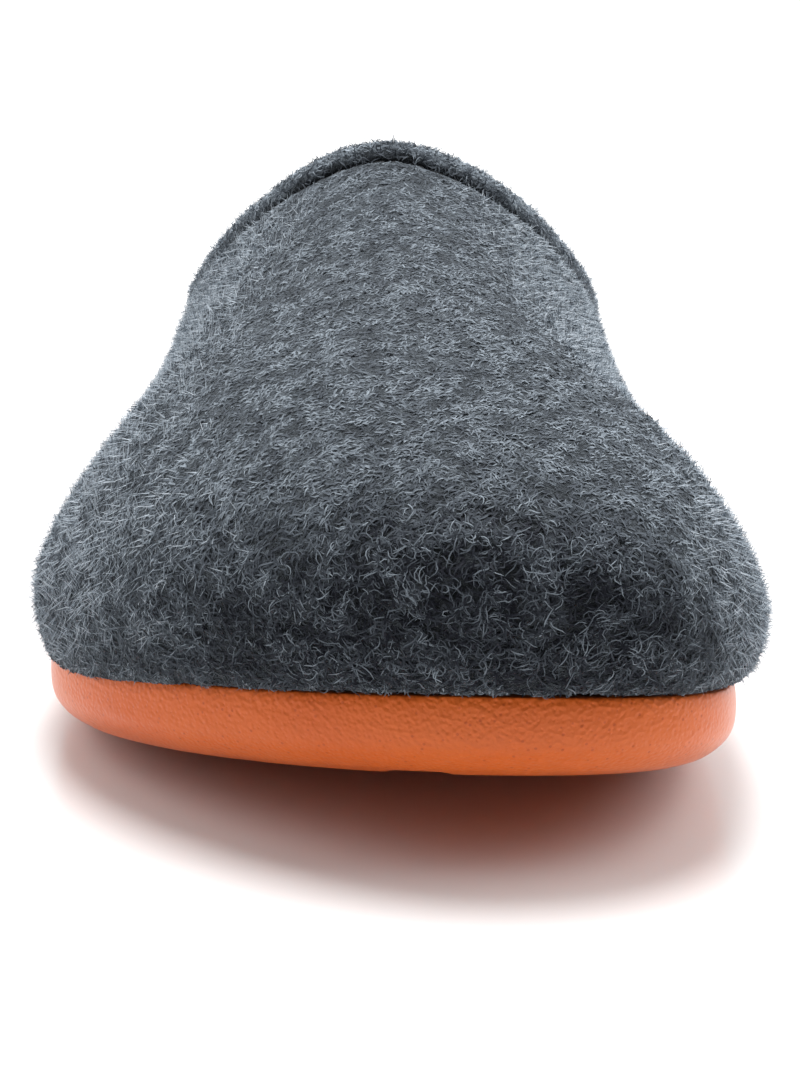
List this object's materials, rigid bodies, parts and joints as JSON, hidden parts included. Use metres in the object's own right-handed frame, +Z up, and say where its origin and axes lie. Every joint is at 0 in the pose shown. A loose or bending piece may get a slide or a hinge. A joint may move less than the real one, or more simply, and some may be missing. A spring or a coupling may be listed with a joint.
{
  "type": "felt mule",
  "caption": "Backless right-foot mule with a hollow felt upper, a rolled collar, a felt insole and a one-piece moulded foam sole, to slip on and walk in indoors.",
  "frame": {"origin": "On the floor, under the middle of the shoe's box.", "axes": "+Z is up. The toe points to -Y and the heel to +Y. +X is the big-toe side."},
  "size_m": [0.1056, 0.2702, 0.0799],
  "materials": {
    "upper_felt": "charcoal boiled wool felt with a curly nap",
    "sole_foam": "orange moulded foam, semi-matt with a fine leathery grain",
    "insole_felt": "grey pressed felt"
  },
  "bodies": {
    "root": {"sole": "sole_foam", "insole": "insole_felt", "upper": "upper_felt"}
  },
  "joints": []
}
